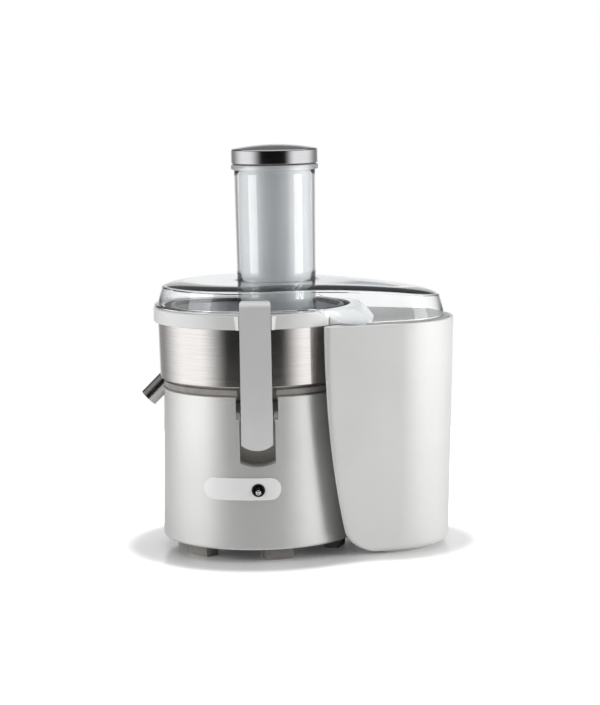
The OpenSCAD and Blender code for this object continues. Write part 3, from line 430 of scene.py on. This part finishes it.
finishes = {
    "housing_silver": plastic("silver_satin_housing", rgb(0.75, 0.75, 0.74), 0.36, 3200, depth=0.003,
                              metal=0.68),
    "gloss_white": plastic("gloss_white_collar", rgb(0.71, 0.71, 0.705), 0.22, 1500, depth=0.0015, coat=0.25,
                           wear=0.03),
    "bin_white": plastic("satin_white_bin", rgb(0.82, 0.82, 0.81), 0.40, 2400, metal=0.27),
    "clamp_white": plastic("satin_clamp", rgb(0.76, 0.765, 0.76), 0.34, 2600, depth=0.003, coat=0.3,
                           metal=0.2),
    "brushed_steel": brushed("brushed_bowl_steel", rgb(0.62, 0.60, 0.585), 0.17, 0.6, (30, 30, 5200)),
    "polished_steel": turned("turned_steel", rgb(0.52, 0.52, 0.53), 0.14, AXIS_X),
    "basket_steel": sieve("sieve_steel", rgb(0.34, 0.34, 0.35)),
    # The clear cover's edge colour and shoulder colour are painted shade: dark edges where a wall is seen on
    # edge, and a dark band below the top.
    "clear_lid": clear_plastic("clear_cover", rgb(0.975, 0.985, 0.99), rgb(0.30, 0.34, 0.42), 6.0,
                               shoulder=rgb(0.26, 0.30, 0.37)),
    "pusher_grey": brushed("silver_pusher", rgb(0.395, 0.40, 0.405), 0.5, 0.3, (400, 400, 30), contrast=0.03,
                           metal=0.2),
    "dark_plastic": plastic("black_plastic", rgb(0.035, 0.035, 0.037), 0.35, 1800, depth=0.005, mottle=0.15),
    "recess_grey": plastic("recess_plastic", rgb(0.56, 0.54, 0.52), 0.32, 1800, mottle=0.08),
    "grey_rubber": rubber("grey_rubber", rgb(0.30, 0.28, 0.265)),
    "motor_steel": brushed("stamped_steel", rgb(0.40, 0.40, 0.41), 0.4, 0.2, (200, 200, 1800)),
    "copper": winding("wound_copper", rgb(0.66, 0.30, 0.14)),
    "board_green": circuit("board_lacquer", rgb(0.03, 0.16, 0.07)),
}
cap_steel = turned("cap_steel", rgb(0.50, 0.50, 0.51), 0.12, AXIS_X + CHUTE_X)
lever_chrome = turned("lever_chrome", rgb(0.7, 0.7, 0.7), 0.08, AXIS_X)
rim_steel = turned("dark_rim_steel", rgb(0.10, 0.10, 0.105), 0.38, AXIS_X)
# The lip's edge colour is painted shade that darkens it where it is seen on edge.
frosted_lip = clear_plastic("frosted_lip", rgb(0.93, 0.94, 0.95), rgb(0.70, 0.72, 0.74), 2.0, rough=0.45)
gloss_outlet = plastic("gloss_outlet", rgb(0.60, 0.60, 0.595), 0.25, 1500, depth=0.0015, coat=0.25)
gloss_trim = plastic("gloss_trim", rgb(0.93, 0.93, 0.925), 0.25, 1500, depth=0.0015, coat=0.25)


def painted(node, finish):
    """Gives a CAD piece a finish."""
    for held in frame["nodes"][node].material_slots:
        held.material = finish


for part in frame["record"]["subparts"]:
    painted(part["node"], finishes[part["material_slot"]])
painted("basket_rim", rim_steel)

# ----------------------------------------------------------------------- lid

LID_R, NOSE_R, NOSE_X, LID_WALL = 101.3, 58.0, 134.0, 2.4
FLARE = math.asin((LID_R - NOSE_R) / NOSE_X)           # the turn of the sides from the long axis
WALL_LEAN, SHOULDER_W, SHOULDER_H, CROWN = 4.2, 30.0, 6.0, 0.4
FLANGE_W, FLANGE_END = 3.6, (62, 74)                   # it dies away between these lengths
SKIRT_RUN = (56, 96)                                   # the foot falls to the skirt between these
CHUTE_DRAFT = math.radians(0.6)


def lid_reach(a, inset):
    """Distance from the chute's middle to the lid's outline in the direction a. The outline
    is a large and a small circle and the two lines that touch both, all drawn in by inset."""
    back, nose, ahead = LID_R - inset, NOSE_R - inset, NOSE_X - CHUTE_X
    off_square = np.abs(a) - np.pi / 2 + FLARE
    line = (back - CHUTE_X * math.sin(FLARE)) / np.maximum(0.001, np.cos(off_square))
    along = line * np.cos(a)
    behind = -CHUTE_X * np.cos(a) + np.sqrt(back ** 2 - (CHUTE_X * np.sin(a)) ** 2)
    before = ahead * np.cos(a) + np.sqrt(np.maximum(0, nose ** 2 - (ahead * np.sin(a)) ** 2))
    reach = np.where(along > ahead + nose * math.sin(FLARE), before, line)
    at_back = (along < back * math.sin(FLARE) - CHUTE_X) | (np.abs(a) > math.radians(150))
    return np.where(at_back, behind, reach)


def lid_height(x):
    """The lid's top falls towards its nose as a power of the distance from the chute."""
    return LID_TOP - LID_FALL * (np.maximum(0, x - CHUTE_X) / FALL_RUN) ** FALL_POWER


def lid_foot(x):
    """The foot of the lid's wall: it drops from the flange to the skirt in one eased step."""
    return FLANGE_Z + (SKIRT_Z - FLANGE_Z) * smooth(ramp(x, *SKIRT_RUN))


def chute_at(z):
    """The chute's outer radius at a height: it narrows towards its foot by its draft."""
    return CHUTE_R - (MOUTH_Z - z) * math.tan(CHUTE_DRAFT)


def clear_cover():
    """The lid and its chute as one moulding. For each direction round the chute a closed
    section runs out along the flange, up the leaning wall, over a low elliptic shoulder and
    the crown, up the chute, over its mouth and back along the inside, each point given by its
    distance from the chute's middle and its height."""
    a = np.linspace(-np.pi, np.pi, 288, endpoint=False)
    edge = lid_reach(a, 0)
    x = CHUTE_X + edge * np.cos(a)
    foot = lid_foot(x)
    wide = FLANGE_W * (1 - ramp(x, *FLANGE_END))
    rings = []

    def ring(r, z):
        rings.append((r + 0 * a, z + 0 * a))

    def shoulder(thick, turns):
        for t in turns:
            r = lid_reach(a, WALL_LEAN + thick * math.cos(t) + SHOULDER_W * (1 - math.cos(t)))
            top = lid_height(CHUTE_X + r * np.cos(a))
            ring(r, top - SHOULDER_H * (1 - math.sin(t)) - thick * math.sin(t))

    def crown(thick, shares):
        far = lid_reach(a, WALL_LEAN + SHOULDER_W)
        near = chute_at(LID_TOP)
        for s in shares:
            r = near + (far - near) * s
            top = lid_height(CHUTE_X + r * np.cos(a)) * s + (1 - s) * LID_TOP + CROWN * (1 - s) ** 2
            fillet = 1.2 * np.maximum(0, 1 - (r - near) / 2.2) ** 2 * (1 if thick == 0 else -1)
            ring(r, top - thick + fillet)

    quarter = np.linspace(0, np.pi / 2, 25)
    shares = np.array([0.95, 0.88, 0.8, 0.7, 0.6, 0.5, 0.4, 0.3, 0.2, 0.13, 0.08, 0.055, 0.035,
                       0.02, 0.008, 0.0])
    ring(edge + wide - 0.3, foot)
    ring(edge + wide, foot + 0.3)
    ring(edge + wide, foot + 1.5)
    ring(edge + wide - 0.25 * wide, foot + 2.25)
    ring(edge + 0.2 * wide, foot + 2.4)
    ring(edge, foot + 2.7)
    ring(lid_reach(a, 0.55), foot + 5)
    shoulder(0, quarter)
    crown(0, shares)
    for z in (284, 300, 330, 360, 380, MOUTH_Z - 0.9):
        ring(chute_at(z), z)
    ring(chute_at(MOUTH_Z) - 0.3, MOUTH_Z - 0.2)
    ring(chute_at(MOUTH_Z) - 0.9, MOUTH_Z)
    ring(chute_at(MOUTH_Z) - CHUTE_WALL + 0.5, MOUTH_Z)
    for z in (MOUTH_Z - 0.5, 380, 350, 310, 280, 250, 230, CHUTE_LOW + 0.8):
        ring(chute_at(z) - CHUTE_WALL, z)
    ring(chute_at(CHUTE_LOW) - 0.5 * CHUTE_WALL, CHUTE_LOW)
    for z in (CHUTE_LOW + 0.8, 235, 255, LID_TOP - 3.5):
        ring(chute_at(z), z)
    crown(LID_WALL, shares[::-1])
    shoulder(LID_WALL, quarter[::-1])
    ring(lid_reach(a, LID_WALL + 0.1), foot + 3)
    ring(lid_reach(a, LID_WALL), foot)
    r = np.array([p[0] for p in rings])
    z = np.array([p[1] for p in rings])
    return np.stack([CHUTE_X + r * np.cos(a), r * np.sin(a), z], -1)


def lip_outline():
    """The section of the lip round the chute's mouth: a block with its outer edges rounded."""
    near, far, low = CHUTE_R + 0.05, CHUTE_R + 2.8, MOUTH_Z - 5
    return rounded([(near, low), (far, low), (far, MOUTH_Z), (near, MOUTH_Z)], [0.3, 1.1, 1.1, 0.3])


fitted(skin("clear_cover", clear_cover(), crease=50), "housing", "clear_lid", finishes["clear_lid"],
       "lid_dome", "feed_chute")
fitted(skin("mouth_lip", spun(lip_outline(), CHUTE_X)), "housing", "clear_lid", frosted_lip, "chute_lip")

# -------------------------------------------------------------- pusher and cap

CAP_Z, CAP_R, CAP_SIDE, CAP_CROWN = 393.2, 44.1, 14.4, 4.3
LOW_EDGE, HIGH_EDGE = 0.5, 1.7


def cap_outline():
    """The cap's section: a flat underside, a straight side with rounded edges, and a crown
    that is an arc through the edge and the middle, of radius (edge^2 + rise^2) / (2 rise)."""
    top = CAP_Z + CAP_SIDE
    edge = CAP_R - 0.8
    big = (edge ** 2 + CAP_CROWN ** 2) / (2 * CAP_CROWN)
    a = np.linspace(math.asin((edge - 1.2) / big), 0, 24)
    crown = np.stack([big * np.sin(a), top + CAP_CROWN - big * (1 - np.cos(a))], -1)
    t = np.linspace(0, np.pi / 2, 7)
    low = np.stack([CAP_R - LOW_EDGE * (1 - np.sin(t)), CAP_Z + LOW_EDGE * (1 - np.cos(t))], -1)
    high = np.stack([CAP_R - HIGH_EDGE * (1 - np.cos(t)), top - 1.5 + 0.95 * HIGH_EDGE * np.sin(t)], -1)
    return np.concatenate([[(0, CAP_Z)], low, high, crown])


fitted(skin("steel_cap", spun(cap_outline(), CHUTE_X), ring=False, crease=35), "pusher", "polished_steel",
       cap_steel, "pusher_cap")

# ----------------------------------------------------------------- pulp outlet

OUTLET_R, OUTLET_END, OUTLET_WALL, OUTLET_GAP = 106.15, 30, 2, 1.6
SWELL, SWELL_TURN, SWELL_POWER = 22, 56, 1.5


def outlet_dome():
    """The outlet's top: at each direction a round the motor axis a section falls from the
    collar to the rim as its share of the way to the power 1.6, and runs back a wall under
    it. The rim stands off by a swell that dies away towards the rear as a power of the turn
    left, and stays inside the lid's skirt."""
    inner = OUTLET_R
    inset = LID_R - LID_WALL - OUTLET_GAP
    first = math.degrees(math.acos(inset / (inner + 1)) + FLARE) - 90
    a = np.radians(np.linspace(first, OUTLET_END, 90))[:, None]
    swell = SWELL * np.maximum(0, (OUTLET_END - np.degrees(a)) / SWELL_TURN) ** SWELL_POWER
    skirt = inset / np.cos(np.pi / 2 - FLARE + a)
    far = np.maximum(inner + 0.6, np.minimum(skirt, inner + 0.6 + swell))
    low = SKIRT_Z + 2.2
    t = np.linspace(0, 1, 24)
    r = inner + (far - inner) * t
    z = low + (COLLAR_TOP - low) * (1 - t ** 1.6) + 0 * a
    r = np.concatenate([r, r[:, ::-1]], 1)
    z = np.concatenate([z, z[:, ::-1] - OUTLET_WALL], 1)
    return np.stack([r * np.cos(a), r * np.sin(a), z], -1)


fitted(skin("outlet_dome", outlet_dome(), ring=False, crease=60), "housing", "gloss_white", gloss_outlet,
       "pulp_outlet")

# ------------------------------------------------------------------------- bin

NOSE_BIN, HOLLOW, TURN = 78.0, 108.4, math.radians(75)   # the nose, the bay, the sides' turn
BIN_END = 201.6
BIN_NOSE_X = BIN_END - NOSE_BIN
BIN_LINE = BIN_NOSE_X * math.cos(TURN) + NOSE_BIN
CORNER_W = BIN_NOSE_X * math.sin(TURN) - 78.7           # how far a side's foot is cut back
CORNER_H, HORN, BIN_LEAN = 27, 6.5, math.tan(math.radians(1.8))
HORN_BACK, SWEEP, SWEEP_POWER = 41.6, 25.8, 2.3


def horn_end(z):
    """How far the end of each side stays back: it sweeps in towards the foot as a power of
    the depth below the rim, and turns into the floor on a quarter of an ellipse."""
    low = np.maximum(0, CORNER_H - z) / CORNER_H
    sweep = SWEEP * (1 - np.minimum(1, z / BIN_H)) ** SWEEP_POWER
    return HORN_BACK + sweep + CORNER_W * (1 - np.sqrt(1 - low * low))


def bin_ring(inset, z, extra):
    """The bin's outline at a height: an arc round the nose, a straight side, a rounded horn
    (a cubic curve tangent to both) and an arc of the hollow round the housing, then the same
    mirrored. inset draws it in, extra draws the horns back, and the walls lean in towards
    the foot."""
    inset = inset + (BIN_H - z) * BIN_LEAN
    nose, hollow, far = NOSE_BIN - inset, HOLLOW + inset, BIN_LINE - inset
    out = np.array([math.cos(TURN), math.sin(TURN)])
    way = np.array([math.sin(TURN), -math.cos(TURN)])
    q = horn_end(z) + extra + HORN
    start = far * out + q * way
    meet = TURN - math.asin(min(0.98, q / hollow))
    finish = hollow * np.array([math.cos(meet), math.sin(meet)])
    back = np.array([-math.sin(meet), math.cos(meet)])
    pull = 4 / 3 * HORN
    tangent = np.array([BIN_NOSE_X, 0]) + nose * out
    t = np.linspace(0, 1, 40, endpoint=False)[:, None]
    a = TURN * t
    arc = np.array([BIN_NOSE_X, 0]) + nose * np.concatenate([np.cos(a), np.sin(a)], 1)
    side = tangent + (start - tangent) * t[::4]
    horn = ((1 - t) ** 3 * start + 3 * t * (1 - t) ** 2 * (start - pull * way)
            + 3 * t * t * (1 - t) * (finish + pull * back) + t ** 3 * finish)
    a = meet * (1 - t[::2])
    bay = hollow * np.concatenate([np.cos(a), np.sin(a)], 1)
    half = np.concatenate([arc, side, horn, bay])
    whole = np.concatenate([half, [[hollow, 0]], half[:0:-1] * [1, -1]])
    return np.concatenate([whole, np.full((len(whole), 1), z)], 1)


def pulp_bin():
    """The bin: outline rings from the foot ring up the outside, over a rounded rim and down
    the inside to the floor."""
    edge, foot, wall = 7.0, 2.6, 2.8
    quarter = np.linspace(0, np.pi / 2, 13)
    outside = [bin_ring(edge + 3.4, 0, 3), bin_ring(edge + 3, 0.5, 3), bin_ring(edge + 3, foot, 3)]
    outside += [bin_ring(edge * (1 - math.sin(t)), foot + edge * (1 - math.cos(t)), 0) for t in quarter]
    outside += [bin_ring(0, z, 0)
                for z in (10.8, 12, 13.5, 15, 17, 19, 21, 23.5, 26, 28, 33, 42, 56, 75, 95, 120, 150, 190,
                          220, 231, BIN_H - 1)]
    lip = [(wall / 2 * (1 - math.cos(t)), BIN_H - 1 + math.sin(t)) for t in np.linspace(0.2, np.pi - 0.2, 9)]
    inside = [(wall, z) for z in (BIN_H - 1, 231, 220, 190, 150, 120, 95, 75, 56, 42, 33, 28, 25, 22, 19,
                                  16, 14)]
    floor = [(wall + 4 * (1 - math.cos(t)), 5.4 + 5 * (1 - math.sin(t)))
             for t in np.linspace(0.3, np.pi / 2, 6)]
    return np.stack(outside + [bin_ring(inset, z, inset) for inset, z in lip + inside + floor])


fitted(skin("pulp_bin_body", pulp_bin(), ring=False, crease=50), "bin", "bin_white", finishes["bin_white"],
       "pulp_bin")

# ------------------------------------------------------------ pieces with eased edges

for side in ("front", "rear"):
    fitted(eased("clamp_" + side, "clamp_arm_" + side, 1.6, 5), side + "_clamp", "clamp_white",
           finishes["clamp_white"], "clamp_" + side)
fitted(eased("switch_trim", "trim_plate", 0.7, 4), "housing", "gloss_white", gloss_trim, "switch_trim")
fitted(eased("feet", "soft_feet", 0.9, 3), "housing", "grey_rubber", finishes["grey_rubber"], "feet")

# ----------------------------------------------------------------- toggle lever

LEVER_LEAN = math.radians(90 + 12)
LEVER_PIVOT = [0, -94.09, 73.5]
BALL_R = 3.2


def lever():
    """The lever's section turned round its own axis, then laid forwards and 12 degrees down
    from the pivot, as a turn about the x axis: a ball, a slim neck and a tip with a dished
    end."""
    t = np.radians(np.linspace(-90, 58, 16))
    ball = np.stack([BALL_R * np.cos(t), BALL_R * np.sin(t)], -1)
    neck = np.array([(1.75, 3.4), (2.0, 5.0), (2.5, 7.5), (2.75, 8.8), (2.8, 9.4), (2.65, 10.0), (2.2, 10.4),
                     (1.5, 10.5), (1.25, 10.2), (0.0, 10.1)])
    grid = spun(np.concatenate([ball, neck]), 0.0, 64)
    c, s = math.cos(LEVER_LEAN), math.sin(LEVER_LEAN)
    turn = np.array([[1, 0, 0], [0, c, -s], [0, s, c]])
    return grid @ turn.T + LEVER_PIVOT


fitted(skin("bat_lever", lever(), ring=False, crease=50), "toggle", "polished_steel", lever_chrome,
       "toggle_lever")

# ------------------------------------------------------------ studio, in metres

WHITE = rgb(1, 1, 1)


def circle(radius, z=0.0):
    """96 points at equal turns round the origin, in metres."""
    turn = np.linspace(0, 2 * np.pi, 96, endpoint=False)
    return np.stack([radius * np.cos(turn), radius * np.sin(turn), z + 0 * turn], -1)


def softbox(name, place, target, width, height, power):
    """A flat lamp that faces a target. Gloss shows the round wall in its place."""
    lamp = bpy.data.lights.new(name, "AREA")
    lamp.shape, lamp.size, lamp.size_y, lamp.energy = "RECTANGLE", width, height, power
    thing = shown(bpy.data.objects.new(name, lamp))
    thing.rotation_euler = (Vector(target) - Vector(place)).to_track_quat("-Z", "Y").to_euler()
    thing.location = place
    thing.visible_glossy = False


def round_wall(radius, low, high):
    """A round wall that only gloss and clear pieces see. Its light rises from dark at the
    front to full at the sides, sooner on the right than on the left, fades behind them and
    is white at the very back. High up it is a fifth as bright, but not for clear pieces."""
    mesh = bpy.data.meshes.new("round_wall")
    rings = np.concatenate([circle(radius, low), circle(radius, high)])
    mesh.from_pydata(rings, [], grid_faces(2, 96, False).tolist())
    thing = shown(bpy.data.objects.new("round_wall", mesh))
    thing.visible_camera = thing.visible_diffuse = thing.visible_shadow = thing.visible_volume_scatter = False
    f = Finish("round_wall")
    x, y, z = f.split(f.place(centre=(0, 0, 0)))
    bearing = x.bearing(y * -1.0)
    away = bearing.size() * (180 / math.pi)
    on_left = away.step(32, 70)
    rise = on_left + (away.step(26, 56) - on_left) * bearing.step(-0.02, 0.02)
    through = f.node("LightPath", out="Is Transmission Ray")
    full = 1 - z.step(0.74, 0.95) * (1 - through)
    beside = rise * (1.45 - away.step(92, 140) * 1.1)
    light = (beside + away.step(150, 168) * 0.65) * (full * 0.8 + 0.2) + 0.01
    mesh.materials.append(f.done(f.node("Emission", {}, {0: WHITE, 1: light})))


def pale_floor(radius):
    """A white disc. The eye sees it glow outside two round patches, one under the housing
    and one under the bin, where it keeps the shadows and the soft reflection; the rounds of
    these patches are a painted shadow that sets how far the dark reaches."""
    mesh = bpy.data.meshes.new("floor")
    mesh.from_pydata(circle(radius), [], [tuple(range(96))])
    f = Finish("pale_floor")
    x, y, z = f.split(f.place(centre=(0, 0, 0)))
    by_base, by_bin = x + 0.041, x - 0.083
    # painted shadow: inside these two circles, under the housing and under the bin, the floor gets almost no
    # glow, which sets the shadows' reach
    outside = ((by_base * by_base + y * y).root().step(0.125, 0.165)
               * (by_bin * by_bin + y * y).root().step(0.085, 0.13))
    glow_with_painted_shadow = f.node("LightPath", out="Is Camera Ray") * (0.04 + outside)
    mesh.materials.append(f.done(f.coat(
        Base_Color=rgb(0.94, 0.94, 0.94), Roughness=0.16, Specular_IOR_Level=0.35,
        Emission_Color=WHITE, Emission_Strength=glow_with_painted_shadow)))
    shown(bpy.data.objects.new("floor", mesh))


def studio_air(light):
    """The world: a soft light of some strength on rough surfaces, and white for the eye,
    in gloss and through clear pieces."""
    world = bpy.data.worlds.new("studio")
    bpy.context.scene.world = world
    f = Finish("studio", world)
    eye, gloss, through = [f.node("LightPath", out="Is %s Ray" % kind)
                           for kind in ("Camera", "Glossy", "Transmission")]
    seen = f.node("Math", {"operation": "ADD", "use_clamp": True}, {0: eye + gloss, 1: through})
    room = f.node("Background", {}, {0: WHITE, 1: light})
    white = f.node("Background", {}, {0: WHITE, 1: 1.0})
    f.done(f.mixed(seen, room, white), "World")


round_wall(2.5, -1.3, 2.4)
softbox("left_softbox", (-1.9, -0.7, 0.5), (0, 0, 0.15), 1.1, 2.0, 31)
softbox("right_softbox", (1.9, -0.6, 0.5), (0.05, 0, 0.15), 1.1, 2.0, 36)
softbox("top_softbox", (0.0, 0.3, 1.9), (0, 0, 0.2), 1.8, 1.4, 12)
pale_floor(0.75)
studio_air(0.16)

camera = shown(bpy.data.objects.new("camera", bpy.data.cameras.new("camera")))
camera.data.lens = 113.3
camera.data.sensor_width = 36
camera.data.clip_end = 50
camera.matrix_world = (Matrix.Translation((0.00273, -2.266, 0.4916))
                       @ Matrix.Rotation(math.radians(82.61), 4, "X")
                       @ Matrix.Rotation(math.radians(-0.974), 4, "Z"))
bpy.context.scene.camera = camera
bpy.context.scene.view_settings.view_transform = "Standard"
